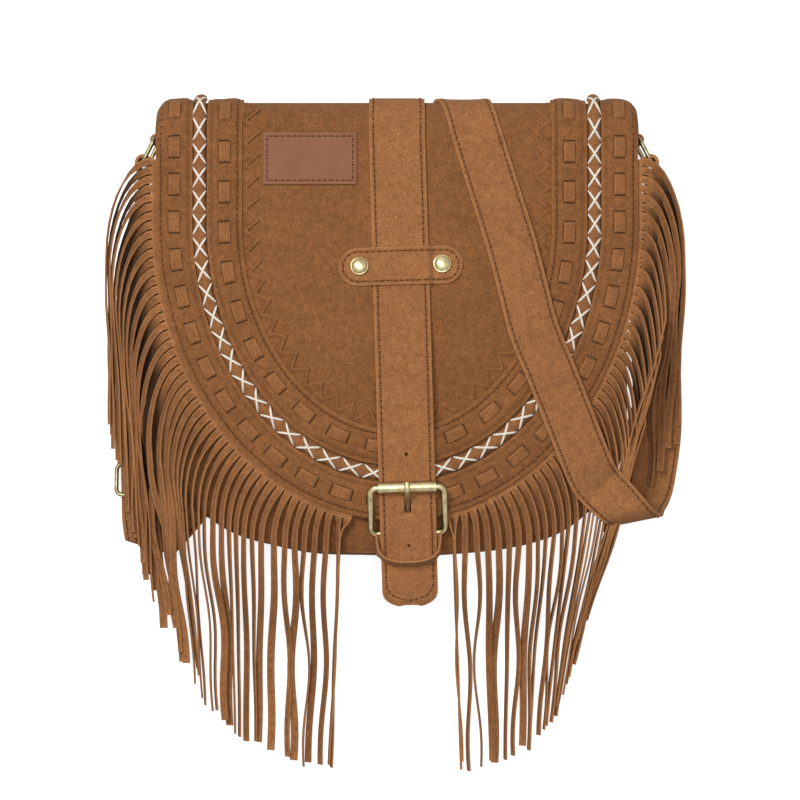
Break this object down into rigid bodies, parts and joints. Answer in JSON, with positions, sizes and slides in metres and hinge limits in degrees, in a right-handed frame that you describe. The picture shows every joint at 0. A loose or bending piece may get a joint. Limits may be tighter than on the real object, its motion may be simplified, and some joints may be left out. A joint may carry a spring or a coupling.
{
  "type": "fringed suede shoulder bag",
  "caption": "Suede shoulder bag with a rounded flap, woven laces, crossed white cord, long cut fringe, a strap closed by a roller buckle and a carrying strap",
  "frame": {"origin": "on the outer face of the back panel, in the middle of the bag's width, on the surface that the bag lies on", "axes": "+X to the bag's right as seen from its front, +Y towards its top, +Z out of its front"},
  "size_m": [0.3624, 0.43, 0.0636],
  "materials": {
    "suede": "napped tan suede",
    "dark_suede": "napped brown suede",
    "smooth_leather": "smooth matt leather",
    "white_cord": "waxed white cord",
    "antique_brass": "aged pale brass"
  },
  "bodies": {
    "bag": {"back_panel": "suede", "front_panel": "dark_suede", "gusset": "dark_suede", "flap_panel": "dark_suede", "outer_band": "suede", "inner_band": "suede", "outer_band_lace": "suede", "inner_band_lace": "suede", "pinked_overlay": "suede", "piping": "suede", "cross_lace": "white_cord", "fringe_left": "suede", "fringe_right": "suede", "closing_strap": "suede", "strap_bridge": "suede", "rivet_left": "antique_brass", "rivet_right": "antique_brass", "buckle_frame": "antique_brass", "buckle_tab": "suede", "keeper_loop": "suede", "label_patch": "smooth_leather", "side_tab_left": "suede", "side_tab_right": "suede", "shoulder_strap_long": "suede", "shoulder_strap_short": "suede", "adjuster_frame": "antique_brass"},
    "roller": {"buckle_roller": "antique_brass"},
    "prong": {"buckle_prong": "antique_brass"},
    "ring_left": {"strap_ring_left": "antique_brass"},
    "ring_right": {"strap_ring_right": "antique_brass"},
    "adjuster_prong": {"adjuster_prong": "antique_brass"}
  },
  "joints": [
    {"name": "roller_turn", "type": "hinge", "parent": "bag", "child": "roller", "pos_m": [0.00632, -0.0992, 0.05618], "axis": [0.9996, 0.0288, 0], "continuous": true},
    {"name": "prong_lift", "type": "hinge", "parent": "bag", "child": "prong", "pos_m": [0.00716, -0.12819, 0.04209], "axis": [0.9996, 0.0288, 0], "range_deg": [0, 3]},
    {"name": "ring_left_swing", "type": "hinge", "parent": "bag", "child": "ring_left", "pos_m": [-0.152, 0.119, 0.02], "axis": [0, 0, 1], "range_deg": [-4, 4]},
    {"name": "ring_right_swing", "type": "hinge", "parent": "bag", "child": "ring_right", "pos_m": [0.152, 0.119, 0.02], "axis": [0, 0, 1], "range_deg": [-4, 4]},
    {"name": "adjuster_prong_lift", "type": "hinge", "parent": "bag", "child": "adjuster_prong", "pos_m": [-0.16, -0.086, 0.0044], "axis": [-1, 0, 0], "range_deg": [0, 3]}
  ]
}
